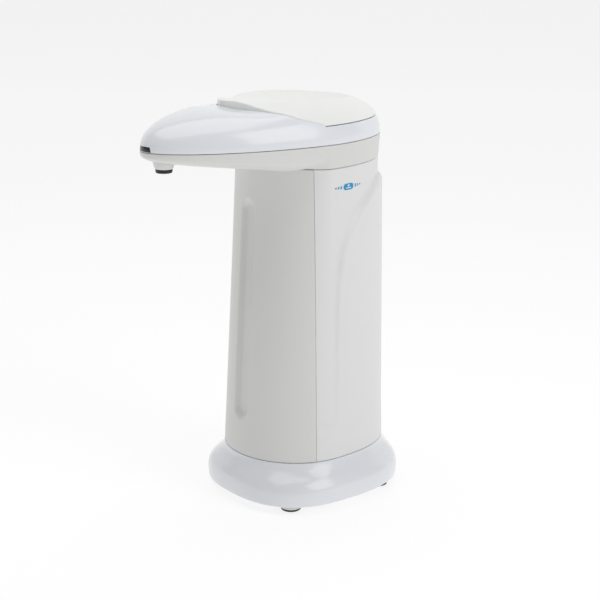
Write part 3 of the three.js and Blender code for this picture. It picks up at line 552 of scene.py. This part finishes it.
def make_lid():
    """The leaf-shaped lid: a crease round the finger dish, a rounded edge and a hollow underside."""
    low = LID_SEAM + GAP / 2
    outline = soft_min(FLANK, contour(low, 0, lid_lift), 0.5)
    inner_outline = np.minimum(outline - WALL, contour(low, WALL, lid_lift))
    edge = 0.5

    def top(x, y):
        return np.minimum(soft_min(dome(x, y, 0, lid_lift), dish(x, y), 0.5), LID_TOP)

    def under(x, y):
        return np.maximum(low, np.minimum(dome(x, y, WALL, lid_lift), dish(x, y, DISH["floor"])))

    def above_dish(r):
        x, y = r * DX, HUB_Y + r * DY
        return dome(x, y, 0, lid_lift) - dish(x, y)

    crease = crossing(above_dish, np.full_like(DX, 3.0), outline * 0.995)
    rows = [polar(crease * u, top) for u in np.linspace(0.03, 0.9, 30)]
    rows += [polar(crease * u, top) for u in np.linspace(0.915, 1.03, 12)]
    beyond = crease * 1.04
    for v in np.linspace(0, 1, 44):
        share = 1 - (1 - v) ** 1.9
        rows.append(polar(beyond + (outline - edge - beyond) * share, top))
    for turn in np.radians([15, 30, 45, 60, 75, 90]):
        row = polar(outline - edge + edge * math.sin(turn), top)
        row[:, 2] = np.maximum(row[:, 2] - edge * (1 - math.cos(turn)), low + 0.05)
        rows.append(row)
    foot = rows[-1].copy()
    for share in (0.4, 0.8, 1.0):
        row = foot.copy()
        row[:, 2] = foot[:, 2] + (low + 0.04 - foot[:, 2]) * share
        rows.append(row)
    rows.append(polar(outline - 0.12, low))
    rows.append(polar(inner_outline, low))
    for u in np.linspace(0.995, 0.04, 30):
        rows.append(polar(inner_outline * u, under))
    middle = np.array([0.0]), np.array([HUB_Y])
    start, end = [(0.0, HUB_Y, float(field(*middle)[0])) for field in (top, under)]
    lid = grid_object("lid_leaf", rows, start=start, end=end)
    far = HINGE_OUTER + GAP
    cut_bars(lid, (-far, -HINGE_LID_HALF, HINGE_SIDE_ROOM), (HINGE_LID_HALF, far, HINGE_SIDE_ROOM))
    place(lid, "lid", "lid", "filler_lid")
    plug = rounded([(13.0, 188.9), (13.0, 184.9), (17.5, 184.9), (17.5, 188.9)], 0.4)
    place(lathe("lid_plug", plug, (0, FILLER_Y, 0)), "lid", "lid")
    place(knuckle("lid_knuckle", -HINGE_LID_HALF, HINGE_LID_HALF), "lid", "lid")


def make_tray():
    """The satin underside of the head, from the nose over the column's neck."""
    well = outline_reach(NECK, HUB_Y, DX, DY, 5.0)
    neck = np.minimum(outline_reach(NECK, HUB_Y, DX, DY), RIM_REACH - 0.05)

    def envelope(r):
        x, y = r * DX, HUB_Y + r * DY
        rise = np.clip((r - neck) / np.maximum(RIM_REACH - neck, 1e-4), 0, 1)
        from_neck = HEAD_BOTTOM + (HEAD_SEAM - HEAD_BOTTOM) * rise
        return np.maximum(HEAD_BOTTOM, soft_min(hull(x, y), from_neck, 0.6))

    share = np.concatenate([[0], np.geomspace(1e-9, 1, 1500)])
    reaches = RIM_REACH + (well - RIM_REACH) * share[:, None]
    high = HEAD_SEAM - GAP / 2
    heights = np.minimum(np.array([envelope(r) for r in reaches]), high - 0.2)
    count = 150
    rows = np.zeros((count, len(DX), 2))
    for k in range(len(DX)):
        rows[:, k] = along_line(np.column_stack([reaches[:, k], heights[:, k]]), count)
    for _ in range(2):
        rows[1:-1] = (rows[:-2] + 2 * rows[1:-1] + rows[2:]) / 4
    made = [polar(RIM_REACH - 0.2, high), polar(RIM_REACH - 0.06, high - 0.06)]
    made += [polar(row[:, 0], row[:, 1]) for row in rows]
    roof = high - 0.4
    made.append(polar(well, HEAD_BOTTOM + WALL))
    for v in np.linspace(0, 1, 24):
        r = well + (RIM_REACH - WALL - well) * v
        made.append(polar(r, np.minimum(envelope(np.minimum(r, RIM_REACH)) + WALL, roof)))
    made.append(polar(RIM_REACH - WALL, high))
    tray = grid_object("head_underside", made, closed=True)
    cut_away(tray, solid_bar("drill", NOZZLE_HOLE, 160, 178, (0, NOZZLE_Y, 0), "z", 96))
    place(tray, "root", "column", "head_tray")


def make_nozzle():
    """The milky tapered nozzle, with a collar inside the head, and the black ring at its end."""
    taper = [(NOZZLE_BORE, 167.7), (4.15, 167.7, 0.4), (4.6, 169.0, 0), (4.95, 170.5, 0), (5.15, 172.0, 0)]
    collar = [(5.2, 174.0, 0.2), (6.0, 174.0, 0.2), (6.0, 174.9, 0.2), (2.7, 174.9, 0.3)]
    spigot = [(2.7, 176.0, 0.2), (NOZZLE_BORE, 176.0, 0.1)]
    body = rounded(taper + collar + spigot, 0.2)
    place(lathe("nozzle_stub", body, (0, NOZZLE_Y, 0)), "root", "nozzle", "nozzle_body")
    ring = [(NOZZLE_BORE, 165.9), (3.75, 165.9, 0.55), (3.95, 167.5, 0.2), (NOZZLE_BORE, 167.5)]
    tip = rounded(ring, 0.2, 7)
    place(lathe("nozzle_ring", tip, (0, NOZZLE_Y, 0)), "root", "black", "nozzle_tip")


WINDOW_HALF = 4.2
WINDOW_LOW, WINDOW_HIGH = 176.42, 178.68
WINDOW_PROUD = 0.06
WINDOW_DEPTH = 1.5


def make_window():
    """The dark strip across the nose tip, a little narrower at its top."""
    across = np.linspace(-WINDOW_HALF, WINDOW_HALF, 49)
    levels = np.linspace(WINDOW_LOW, WINDOW_HIGH, 13)
    front, back = [], []
    power = HEAD["front_power"]
    for z in levels:
        for inset, rows in ((-WINDOW_PROUD, front), (WINDOW_DEPTH, back)):
            y = np.full_like(across, HEAD["middle"] - HEAD["front"])
            x = across * (1 - 0.08 * (z - (WINDOW_LOW + WINDOW_HIGH) / 2))
            for _ in range(8):
                climb = (z - HEAD_SEAM) / (DOME_RISE + DOME_SLOPE * (y - DOME_SLOPE_FROM))
                share = (1 - climb ** DOME_ROUNDNESS) ** (1 / DOME_FULLNESS)
                half = HEAD["half_width"] * share
                middle = DOME_CENTRE + (HEAD["middle"] - DOME_CENTRE) * share
                reach = HEAD["front"] * share
                y = middle - reach * (1 - (np.abs(x) / half) ** power) ** (1 / power)
            rows.append(np.column_stack([x, y + inset, np.full_like(x, z)]))
    rows = np.array([np.vstack([a, b[::-1]]) for a, b in zip(front, back)])
    strip = grid_object("nose_window", rows, start=rows[0].mean(0), end=rows[-1].mean(0))
    place(strip, "root", "window", "sensor_window")


# ---- Column ----

def column_plan(z):
    return blend_plans(ROOT, NECK, (z - BASE_TOP) / (COLUMN_TOP - BASE_TOP))


def section(z, inset, cut_y, ahead, count):
    """The column's outline at a height, on one side of the plane y = cut_y, from +X round to -X."""
    plan = column_plan(z)
    share = ((plan["middle"] - cut_y) / (plan["front"] - inset)) ** (plan["front_power"] / 2)
    first = -math.asin(share)
    last = -PI - first
    angles = np.linspace(first, last, 1600) if ahead else np.linspace(first, last + 2 * PI, 1600)
    return along_line(np.column_stack(plan_point(plan, angles, inset)), count)


GROOVE_LOW, GROOVE_HIGH = 41.0, 148.5
GROOVE_HALF = 5.6
GROOVE_DEPTH = 2.3


def groove(x, z):
    """How deep the long round-ended channel is at a place on the front face."""
    over = np.clip(z, GROOVE_LOW + GROOVE_HALF, GROOVE_HIGH - GROOVE_HALF)
    away = np.hypot(x, z - over)
    return GROOVE_DEPTH * (1 - smooth_step(GROOVE_HALF - 3.0, GROOVE_HALF + 0.3, away))


def rounded_heights(low, high, radius, count):
    """(height, inset) rows for a wall with a rounded lower and upper edge."""
    turns = np.radians([0, 22, 45, 67, 90])
    rows = [(low + radius * (1 - math.cos(t)), radius * (1 - math.sin(t))) for t in turns]
    rows += [(z, 0.0) for z in np.linspace(low + radius, high - radius, count)[1:-1]]
    rows += [(high - radius * (1 - math.cos(t)), radius * (1 - math.sin(t))) for t in turns[::-1]]
    return rows


def corner_rows(x, y, radius, toward_x, toward_y):
    """A quarter round that leaves (x, y) along Y and ends along X. Each toward is its way, 1 or -1."""
    turns = np.radians(np.linspace(0, 90, 6))
    across = x + toward_x * (1 - np.cos(turns)) * radius
    return np.column_stack([across, y + toward_y * np.sin(turns) * radius])


def grooved(points, z):
    return np.column_stack([points[:, 0], points[:, 1] + groove(points[:, 0], z)])


def make_front_shell():
    """The front half of the column: a wall with the channel pressed into it."""
    edge = 0.4
    rows = []
    for z, inset in rounded_heights(BASE_TOP + GAP, COLUMN_TOP - 0.05, 0.35, 190):
        outer = grooved(section(z, inset, SPLIT_Y - edge, True, 300), z)
        inner = grooved(section(z, WALL, SPLIT_Y - 0.1, True, 120)[::-1], z)
        right, left = outer[0], outer[-1]
        to_right = corner_rows(right[0], right[1], edge, -1, 1)[::-1]
        to_left = corner_rows(left[0], left[1], edge, 1, 1)
        face_left = [[inner[0][0] - 0.01, SPLIT_Y]]
        face_right = [[inner[-1][0] + 0.01, SPLIT_Y]]
        loop = np.vstack([to_right[:-1], outer, to_left[1:], face_left, inner, face_right])
        rows.append(np.column_stack([loop, np.full(len(loop), z)]))
    place(closed_wall("column_front", rows), "root", "column", "front_shell")


# The front edge of the tank's raised side, as (y, z) from its foot to its shoulder.
ARCH = through([
    (15, 20), (15, 45), (15, 70), (15, 100), (16.2, 118),
    (20, 131), (27, 141.5), (36, 149), (46, 154.5),
], 20)
ROOF_SLOPE = 0.1
BULGE_TOP = 156
BULGE_PROUD = 2.2
BULGE_EDGE = 2.2
FOOT_TOP = 41.0


def swell(y, z):
    """How far the tank's side stands out: most at the shoulder, behind a curved line, and GAP at the foot."""
    front = np.interp(z, ARCH[:, 1], ARCH[:, 0])
    spacing = np.hypot(y[..., None] - ARCH[:, 0], z - ARCH[:, 1]).min(-1)
    inside = (y > front) & (z < BULGE_TOP)
    end_y, end_z = ARCH[-1]
    roof = np.where(y > end_y, np.abs(z - (end_z + (y - end_y) * ROOF_SLOPE)), np.inf)
    spacing = np.minimum(spacing, roof)
    proud = BULGE_PROUD * max(z - BASE_TOP, 0) / (COLUMN_TOP - BASE_TOP)
    raised = proud * smooth_step(-BULGE_EDGE, BULGE_EDGE, np.where(inside, spacing, -spacing))
    foot = GAP * smooth_step(FOOT_TOP + 0.5, FOOT_TOP - 0.5, z)
    return np.maximum(raised, foot)


def make_tank():
    """The soap tank: the rear half of the column, with a filler neck and a hollow inside."""
    edge = 0.12
    mouth, neck = 14.5, 16.5
    neck_top = 183.0
    floor = 26.0

    def loop(z, inset, raised):
        arc = section(z, GAP + inset, SPLIT_Y + 2 * edge, False, 420)
        if raised:
            tangent = np.gradient(arc, axis=0)
            normal = np.column_stack([tangent[:, 1], -tangent[:, 0]])
            normal /= np.linalg.norm(normal, axis=1)[:, None]
            arc = arc + normal * swell(arc[:, 1], z)[:, None]
        right, left = arc[0], arc[-1]
        to_right = corner_rows(right[0], right[1], edge, -1, -1)[::-1]
        to_left = corner_rows(left[0], left[1], edge, 1, -1)
        across = np.linspace(to_left[-1][0], to_right[0][0], 60)[1:-1]
        face = np.column_stack([across, np.full(len(across), to_left[-1][1])])
        whole = np.vstack([to_right[:-1], arc, to_left[1:], face])
        return np.column_stack([whole, np.full(len(whole), z)])

    rows = [loop(z, inset, True) for z, inset in rounded_heights(BASE_TOP + GAP, COLUMN_TOP, 0.35, 190)]
    angles = np.arctan2(rows[-1][:, 1] - FILLER_Y, rows[-1][:, 0])

    def circle(radius, z):
        x, y = radius * np.cos(angles), FILLER_Y + radius * np.sin(angles)
        return np.column_stack([x, y, np.full(len(angles), z)])

    rows += [circle(neck + 0.4, COLUMN_TOP), circle(neck + 0.1, COLUMN_TOP + 0.15)]
    rows += [circle(neck, z) for z in (COLUMN_TOP + 0.5, 172, 182.5)]
    rows += [circle(neck - 0.15, neck_top - edge), circle(neck - 0.5, neck_top)]
    rows += [circle(mouth + 0.5, neck_top), circle(mouth + 0.15, neck_top - edge)]
    rows += [circle(mouth, z) for z in (182.5, 172, 162.6)]
    rows += [loop(z, 2.0, False) for z in (162.4, 120, 80, 40, floor)]
    tank = grid_object("soap_tank", rows, start=(0, FILLER_Y, rows[0][0, 2]), end=(0, FILLER_Y, floor))
    place(tank, "root", "tank", "reservoir")
    bore, outside, front, back = 2, 3, 1.0, 5.2
    outlet = rounded([(bore, front), (outside, front), (outside, back), (bore, back)], 0.2)
    place(lathe("tank_outlet", outlet, (8, 0, 31), "y", 48), "root", "tank")


def tank_side(y, z):
    """The tank's outer surface on the +X side."""
    plan = column_plan(z)
    reach = np.where(y < plan["middle"], plan["front"], plan["back"]) - GAP
    power = np.where(y < plan["middle"], plan["front_power"], plan["back_power"])
    x = (plan["half_width"] - GAP) * (1 - (np.abs(y - plan["middle"]) / reach) ** power) ** (1 / power)
    return x + swell(y, z)


def flat_mark(name, outline, slot, height, *nodes):
    """A thin printed patch on the tank's +X side, from an outline of (y, z)."""
    sunk = 0.1
    points = along_line(np.array(outline + outline[:1], float), 49)[:-1]
    centre = points.mean(0)
    rows = []
    for share, lift in ((0.35, height), (0.7, height), (1.0, height), (1.0, -sunk)):
        ring = centre + (points - centre) * share
        x = np.array([float(tank_side(np.array([y]), z)[0]) for y, z in ring]) + lift
        rows.append(np.column_stack([x, ring]))
    middle = (float(tank_side(np.array([centre[0]]), centre[1])[0]) + height, *centre)
    back = (middle[0] - height - sunk, *centre)
    patch = grid_object(name, rows, start=middle, end=back)
    return place(patch, "root", slot, *nodes)


def box_outline(y, z, half_y, half_z):
    front, back, low, high = y - half_y, y + half_y, z - half_z, z + half_z
    return [(front, low), (back, low), (back, high), (front, high)]


def make_level_mark():
    """A blue capsule with a pale level glyph, between two rows of tapering ticks."""
    y0, z0 = 22.2, 155.6
    straight, round_end = 1.9, 1.5
    print_height, glyph_height = 0.06, 0.1
    turn = np.linspace(-PI / 2, PI / 2, 13)
    right = [(y0 + straight + round_end * math.cos(t), z0 + round_end * math.sin(t)) for t in turn]
    left = [(y0 - straight - round_end * math.cos(t), z0 - round_end * math.sin(t)) for t in turn]
    flat_mark("level_capsule", right + left, "mark", print_height, "level_mark")
    flat_mark("level_glyph_bar", box_outline(y0, z0 - 0.575, 1.7, 0.175), "lid", glyph_height)
    arrow = [(y0 - 0.8, z0 + 0.85), (y0, z0 - 0.15), (y0 + 0.8, z0 + 0.85)]
    flat_mark("level_glyph_arrow", arrow, "lid", glyph_height)
    ticks = ((4.9, 0.42, 0.75), (6.5, 0.4, 0.55), (8.2, 0.55, 0.3))
    for side, name in ((-1, "front"), (1, "back")):
        for i, (far, half_y, half_z) in enumerate(ticks):
            outline = box_outline(y0 + side * far, z0, half_y, half_z)
            flat_mark(f"level_tick_{name}_{i + 1}", outline, "mark", print_height)


# ---- Base ----

# The base's flare: how far it has spread from the column's root to the rim, at each height.
FLARE = through([
    (0.0, BASE_TOP), (0.035, 22.4), (0.15, 20.5), (0.4, 18), (0.69, 15.5), (0.9, 13),
    (0.985, 10.5), (1.0, 8.2), (0.995, 6.3), (0.975, 5.0), (0.955, 4.5),
], 8)
FOOT_X = 26.3
FOOT_Y = {"front": -6.2, "back": 48.0}


def make_base():
    """The flared base, hollow from below, and its four rubber feet."""
    angles = np.linspace(0, 2 * PI, 480, endpoint=False)

    def ring(share, z, inset=0.0):
        x, y = plan_point(blend_plans(ROOT, RIM, share), angles, inset)
        return np.column_stack([x, y, np.full(len(x), z)])

    rows = [ring(0.0, BASE_TOP, 8.0), ring(0.0, BASE_TOP, 0.4), ring(0.0, BASE_TOP - 0.06, 0.1)]
    rows += [ring(share, z) for share, z in FLARE[2:]]
    rows += [ring(0.94, 4.32, 0.1), ring(0.93, 4.3, 0.5), ring(0.93, 4.3, 1.6), ring(0.95, 4.6, 2.1)]
    inside = ((0.97, 7), (0.96, 10.0), (0.85, 13.0), (0.4, 17.0), (0.1, 20.0), (0.03, 21.4))
    rows += [ring(share, z, 2.0) for share, z in inside]
    base = grid_object("base_flare", rows, start=(0, 14, BASE_TOP), end=(0, 14, 21.4))
    place(base, "root", "shell", "base_skirt")
    pad = rounded([(0.02, 0.0, 0), (4.35, 0.0, 0.3), (4.75, 0.4, 0.2), (4.75, 0.8, 0.15), (1.6, 0.8, 0.1),
                   (1.6, 4.3, 0.3), (0.02, 4.3, 0)], 0.2)
    for side, across in ((-1, "left"), (1, "right")):
        for name, y in FOOT_Y.items():
            obj = lathe(f"foot_pad_{name}_{across}", pad, (side * FOOT_X, y, 0), "z", 72)
            place(obj, "root", "rubber", f"foot_{name}_{across}")


make_shell()
make_lid()
make_tray()
make_nozzle()
make_window()
make_front_shell()
make_tank()
make_level_mark()
make_base()

for part in frame["record"]["subparts"]:
    node = frame["nodes"][part["node"]]
    node.data.materials.clear()
    node.data.materials.append(LOOKS[part["material_slot"]])


# ---- Stage, light and camera ----

def make_stage():
    """A white sheet under the object that bends up behind it, square to the camera."""
    near, far, bend, top, half_width = -6000, 1500, 900, 3200, 6000
    below = 0.05
    profile = [(near, 0.0), (far, 0.0)]
    for t in np.radians(np.linspace(5, 85, 17)):
        profile.append((far + bend * math.sin(t), bend * (1 - math.cos(t))))
    profile += [(far + bend, bend), (far + bend, top)]
    c, s = math.cos(VIEW_TURN), math.sin(VIEW_TURN)
    sides = (-half_width, half_width)
    rows = [[(x * c - y * s, x * s + y * c, z - below) for x in sides] for y, z in profile]
    floor = grid_object("studio_floor", rows, ring=False)
    material = bpy.data.materials.new("studio_paper")
    material.use_nodes = True
    tree = material.node_tree
    shader = tree.nodes["Principled BSDF"]
    shader.inputs["Roughness"].default_value = 0.9
    shader.inputs["Specular IOR Level"].default_value = 0.1
    shader.inputs["Base Color"].default_value = (0.3, 0.3, 0.3, 1)
    shader.inputs["Emission Color"].default_value = (1, 1, 1, 1)
    shader.inputs["Emission Strength"].default_value = 0.74
    floor.data.materials.append(material)


def area_light(name, place_at, aim, size, power):
    data = bpy.data.lights.new(name, "AREA")
    data.shape = "RECTANGLE"
    data.size, data.size_y = size
    data.energy = power
    light = bpy.data.objects.new(name, data)
    light.location = place_at
    light.rotation_mode = "QUATERNION"
    light.rotation_quaternion = (Vector(aim) - Vector(place_at)).to_track_quat("-Z", "Y")
    bpy.context.scene.collection.objects.link(light)


def make_light():
    world = bpy.data.worlds.new("studio_air")
    world.use_nodes = True
    back = world.node_tree.nodes["Background"]
    back.inputs["Color"].default_value = (1.0, 1.0, 1.0, 1)
    back.inputs["Strength"].default_value = 0.29
    bpy.context.scene.world = world
    area_light("key_softbox", place_at=(0.75, 0.2, 0.55), aim=(0, 0, 0.1), size=(0.5, 0.7), power=2.35)
    area_light("top_softbox", place_at=(-0.05, -0.1, 0.95), aim=(0, 0, 0.12), size=(0.9, 0.9), power=3.7)
    area_light("left_fill", place_at=(-0.55, -0.75, 0.4), aim=(0, 0, 0.1), size=(0.5, 0.8), power=0.2)


def make_camera():
    data = bpy.data.cameras.new("camera")
    data.sensor_width = 36.0
    data.lens = 90.25
    data.clip_start, data.clip_end = 0.05, 20.0
    camera = bpy.data.objects.new("camera", data)
    camera.location = (0.5676, -0.4083, 0.28677)
    camera.rotation_euler = (math.radians(90 - 15.145), 0, VIEW_TURN)
    bpy.context.scene.collection.objects.link(camera)
    bpy.context.scene.camera = camera


make_stage()
make_light()
make_camera()
bpy.context.scene.view_settings.view_transform = "Standard"
